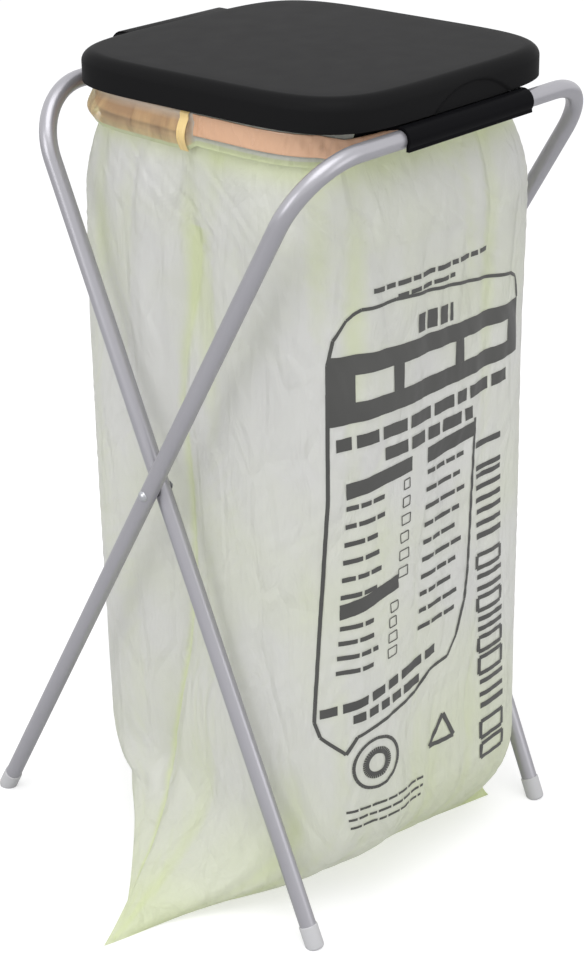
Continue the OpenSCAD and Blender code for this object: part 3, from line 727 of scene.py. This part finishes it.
# header: a dark field, with three plain bars left open in it; f and g are shares of its height
header_left = -141
header_right = 111
for left, right, f, g in ((header_left, header_right, 0, 0.3), (header_left, header_right, 0.7, 1),
                          (header_left, -114, 0.3, 0.7), (-72, -60, 0.3, 0.7), (12, 24, 0.3, 0.7),
                          (92, header_right, 0.3, 0.7)):
    along = [(s - header_left) / (header_right - header_left) for s in (left, right)]
    low = [510 + 5 * a for a in along]
    tall = [63 - 12 * a for a in along]
    ink_field([(left, low[0] + f * tall[0]), (right, low[1] + f * tall[1]),
               (right, low[1] + g * tall[1]), (left, low[0] + g * tall[0])])
ink_row(-42, 8, 575, 17, 10, 13, 4)
ink_row(-97, 62, 624, 4.5, 8, 20, 3, 0.0)
ink_row(-68, 10, 613, 4, 8, 20, 3, 0.0)
ink_row(-134, 90, 486, 12, 12, 30, 5, 0.03)
ink_row(-82, 38, 467, 12, 12, 30, 5, 0.035)
# three columns: a sub-header field, and rows of bars under it, with small boxes beside the left ones
for left, right, low_left, low_right, rows_here, spacing in (
        (-125, -49, 440, 448, 6, 17), (-133, -66, 324, 338, 4, 15), (-26, 40, 447, 453, 10, 17)):
    ink_field([(left, low_left), (right, low_right), (right, low_right + 14), (left, low_left + 15)])
    for k in range(rows_here):
        z = low_left - 11 - k * spacing
        lean = -k * 1.4
        if left < -100:
            ink_row(left + lean, left + lean + row_pick.uniform(34, 44), z, 4.6, 9, 24, 2.5, 0.05)
            mark = right - 10 + lean
            wide = row_pick.uniform(7, 12)
            z += 5
            ink_line([(mark, z - 2), (mark + wide, z - 1), (mark + wide, z + 8), (mark, z + 7), (mark, z - 2)], 1.2)
        else:
            ink_row(left + lean, left + lean + row_pick.uniform(44, 58), z, 4.4, 9, 24, 2.5, 0.05)
ink_row(-152, -12, 224, 9.5, 12, 30, 5, 0.20)
ink_row(-121, -36, 216, 9, 10, 26, 4, 0.15)
# a column of boxes and bars down the right, picked by the seed
column_top = 444
column_low = 100
z = column_top
while z > column_low:
    f = (column_top - z) / 356
    left = 44 + 18 * f
    tall = row_pick.uniform(13, 19)
    shape = row_pick.integers(0, 3)
    if shape == 0:
        ink_line([(left, z - tall), (left + 36, z - tall), (left + 36, z), (left, z), (left, z - tall)], 4.6)
    elif shape == 1:
        ink_field([(left, z - tall), (left + 38, z - tall), (left + 38, z - tall + 5), (left, z - tall + 5)])
        ink_field([(left, z - 5), (left + 38, z - 5), (left + 38, z), (left, z)])
    else:
        ink_field([(left, z - 6), (left + 38, z - 6), (left + 38, z), (left, z)])
    z -= tall + 7
# plain marks: two rings, a triangle and three fine rows
around = np.linspace(0, 2 * np.pi, 41)
for ring_r, width in ((26, 3.4), (13, 7.0)):
    ink_line([(-95 + ring_r * math.cos(a), 168 + ring_r * math.sin(a)) for a in around], width)
ink_line([(-20, 152), (16, 150), (-1, 180), (-20, 152)], 5)
for k in range(3):
    ink_row(-129 + 2 * k, -26 - 3 * k, 122 - k * 9, 2.6, 8, 18, 2, 0.0)

flat = np.array(ink_points)
ink_mat = surface_material("print_ink", (0.045, 0.045, 0.043), (0.09, 0.09, 0.085), 0.4, 300, 0.0002, spread=0.08)
ink = new_piece("bag_print", on_film(flat[:, 0], flat[:, 1]), ink_faces, ink_mat, "ring")
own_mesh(ink)

# Seam strip. Where the film's doubled side seam is turned down over the band, it shows as a
# yellow strip with fine lengthwise ribs.
strip_across = 12
strip_down = 24
strip_t = np.radians(np.linspace(178.7, 182.7, strip_across))
strip_rows = []
for f in np.linspace(0, 1, strip_down):
    x, y = rounded(strip_t, ring_half_x, ring_half_y)
    z = 0.0072 - 0.0339 * f
    down = (film_rim - z) / flap_long
    crease = np.maximum(0.0013 * ripple(strip_t, 8, 12, 60, 20, 0.5) * math.sin(down * 2.6), -0.0003)
    ribs = 0.00025 * np.cos(np.linspace(0, 6 * np.pi, strip_across))
    off = flap_off(down) + crease + 0.0007 + ribs
    strip_rows.append(from_deck(x - off, ring_mid_y + y, np.full(strip_across, z)))
strip_faces = [(i * strip_across + j, (i + 1) * strip_across + j, (i + 1) * strip_across + j + 1, i * strip_across + j + 1)
               for i in range(strip_down - 1) for j in range(strip_across - 1)]
seam_film = surface_material("seam_film", (0.80, 0.62, 0.28), (0.72, 0.50, 0.20), 0.3, 500, 0.0001)
strip = new_piece("bag_seam_strip", np.concatenate(strip_rows), strip_faces, seam_film, "ring")

# Lid. A shallow black polypropylene tray, upside down, with a soft upper edge, a finger
# scallop pressed into its front skirt and a hood at the back over the hinge knuckles.
lid_slope = deck_tilt + math.radians(1.28)
lid_half_x = 0.15707
lid_half_y = 0.170845
lid_mid_y = -0.172445
lid_wall = 0.0025
lid_low = 0.005
lid_top = 0.0336
lid_round = 0.011
lid_count = 640
scallop_x = 0.016
scallop_half = 0.054
scallop_rise = 0.020
scallop_depth = 0.0018
t = np.linspace(0, 2 * np.pi, lid_count, endpoint=False)


def lid_point(x, y, z):
    """Points of the lid's frame in the row frame."""
    return from_deck(x, y, z, lid_slope)


def lid_row(inset, z, press=None):
    """One loop of the lid at an inset from its outline."""
    x, y = rounded(t, lid_half_x - inset, lid_half_y - inset)
    y = y + lid_mid_y
    z = np.full(lid_count, z) if np.isscalar(z) else z
    if press is not None:
        y = y + press
    return lid_point(x, y, z)


edge_x, edge_y = rounded(t, lid_half_x, lid_half_y)
edge_y = edge_y + lid_mid_y
clear_r = np.where(np.abs(edge_x) < 0.1, 0.0116, 0.0096)
low_edge = np.maximum(lid_low, np.sqrt(np.maximum(0, clear_r ** 2 - edge_y ** 2)))
straight_top = lid_top - lid_round
rows = []
inner_round = lid_round - lid_wall
for inset in np.linspace(1, 0.0, 12)[1:-1]:
    pull = inset * 0.9
    rows.append(lid_row(lid_wall + inner_round + pull * (lid_half_x - lid_wall - inner_round), lid_top - lid_wall))
for a in np.linspace(90, 0, 9):
    a = math.radians(a)
    rows.append(lid_row(lid_wall + inner_round * (1 - math.cos(a)),
                        lid_top - lid_wall - inner_round * (1 - math.sin(a))))
for f in np.linspace(1, 0, 4)[1:]:
    rows.append(lid_row(lid_wall, low_edge + f * (straight_top - low_edge)))
rows.append(lid_row(lid_wall - 0.0005, low_edge - 0.0002))
rows.append(lid_row(0.0005, low_edge - 0.0002))
lens_r = (scallop_half ** 2 + scallop_rise ** 2) / (2 * scallop_rise)


def scallop_press(z, share=1.0):
    """How far the lid's front skirt is pressed in at heights z, with a soft rim round the scallop."""
    depth = lens_r - np.hypot(edge_x - scallop_x, z - (lid_low + scallop_rise - lens_r))
    soft = np.clip(depth / 0.0035, 0, 1)
    soft = soft * soft * (3 - 2 * soft)
    return np.where(edge_y < -0.3, soft * scallop_depth * share, 0)


for f in np.linspace(0, 1, 30):
    z = low_edge + 0.0003 + f * (straight_top - low_edge - 0.0003)
    rows.append(lid_row(0, z, scallop_press(z)))
for a in np.linspace(0, 90, 15)[1:]:
    a = math.radians(a)
    z = lid_top - lid_round * (1 - math.sin(a))
    rows.append(lid_row(lid_round * (1 - math.cos(a)), z, scallop_press(z, math.cos(a))))
for inset in np.linspace(0, 1, 14)[1:-1]:
    rows.append(lid_row(lid_round + inset * 0.97 * (lid_half_x - lid_round), lid_top))
points = np.concatenate(rows)
faces = loop_faces(len(rows), lid_count)
last = (len(rows) - 1) * lid_count
faces.append(tuple(last + j for j in range(lid_count)))
faces.append(tuple(range(lid_count - 1, -1, -1)))
lid_plastic = surface_material("lid_plastic", (0.0105, 0.0105, 0.011), (0.0115, 0.0115, 0.012), 0.42, 1300, 0.00005,
                               specular=0.02, spread=0.012)
new_piece("lid_tray", points, faces, lid_plastic, "lid", ["lid"], 40)

# hood over the bar, with a cheek at each end
hood_half = 0.065
hood_back = 0.015
hood_low = 0.002
hood_bend = 0.017
hood_step = 0.0003


def hood_curve(inset):
    """Curve of the hood in Y and Z, from the lid's top over the bar and down behind it."""
    back, top, bend = hood_back - inset, lid_top - hood_step - inset, hood_bend - inset
    arc = [(back - bend + bend * math.cos(a), top - bend + bend * math.sin(a))
           for a in np.radians(np.arange(90, -1, -6))]
    return [(-0.013, top)] + arc + [(back, hood_low)]


def side_prism(outline, x_from, x_to, bevel, name):
    """A prism along X from its outline in Y and Z, with its edges eased; gives points and faces."""
    mesh = bmesh.new()
    near = [mesh.verts.new(lid_point(x_from, y, z).tolist()) for y, z in outline]
    far = [mesh.verts.new(lid_point(x_to, y, z).tolist()) for y, z in outline]
    n = len(outline)
    for j in range(n):
        mesh.faces.new((near[j], near[(j + 1) % n], far[(j + 1) % n], far[j]))
    mesh.faces.new(near[::-1])
    mesh.faces.new(far)
    bmesh.ops.recalc_face_normals(mesh, faces=mesh.faces)
    edges = [e for e in mesh.edges if e.calc_face_angle(0) > math.radians(40)]
    bmesh.ops.bevel(mesh, geom=edges, offset=bevel, segments=3, affect="EDGES", profile=0.5, clamp_overlap=True)
    made = bpy.data.meshes.new(name)
    mesh.to_mesh(made)
    mesh.free()
    return made


hood_outer = hood_curve(0)
hood_inner = hood_curve(lid_wall)
hood_parts = [side_prism(hood_outer + hood_inner[::-1], -hood_half, hood_half, 0.0009, "hood_shell")]
for side in (-1, 1):
    x_out = side * hood_half
    x_in = side * (hood_half - lid_wall)
    hood_parts.append(side_prism(hood_outer + [(-0.0026, hood_low + 0.0076)],
                                 min(x_out, x_in), max(x_out, x_in), 0.0008, "hood_cheek"))
knuckle_r, knuckle_wall, knuckle_w, knuckle_x = 0.00807, 0.0027, 0.024, 0.043
collar = [(r * math.sin(a), -r * math.cos(a))
          for r, span in ((knuckle_r, 1), (knuckle_r + knuckle_wall, -1))
          for a in np.radians(np.linspace(50, 310, 40))[::span]]
for side in (-1, 1):
    hood_parts.append(side_prism(collar, side * knuckle_x - knuckle_w / 2, side * knuckle_x + knuckle_w / 2, 0.0005,
                                 "knuckle"))
joined = bmesh.new()
for part in hood_parts:
    joined.from_mesh(part)
hood_mesh = bpy.data.meshes.new("lid_hood")
joined.to_mesh(hood_mesh)
joined.free()
hood_mesh.materials.append(lid_plastic)
hood_mesh.shade_smooth()
hood_mesh.set_sharp_from_angle(angle=math.radians(35))
hood_piece = bpy.data.objects.new("lid_hood", hood_mesh)
bpy.context.scene.collection.objects.link(hood_piece)
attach(hood_piece, "lid")

bpy.context.view_layer.update()
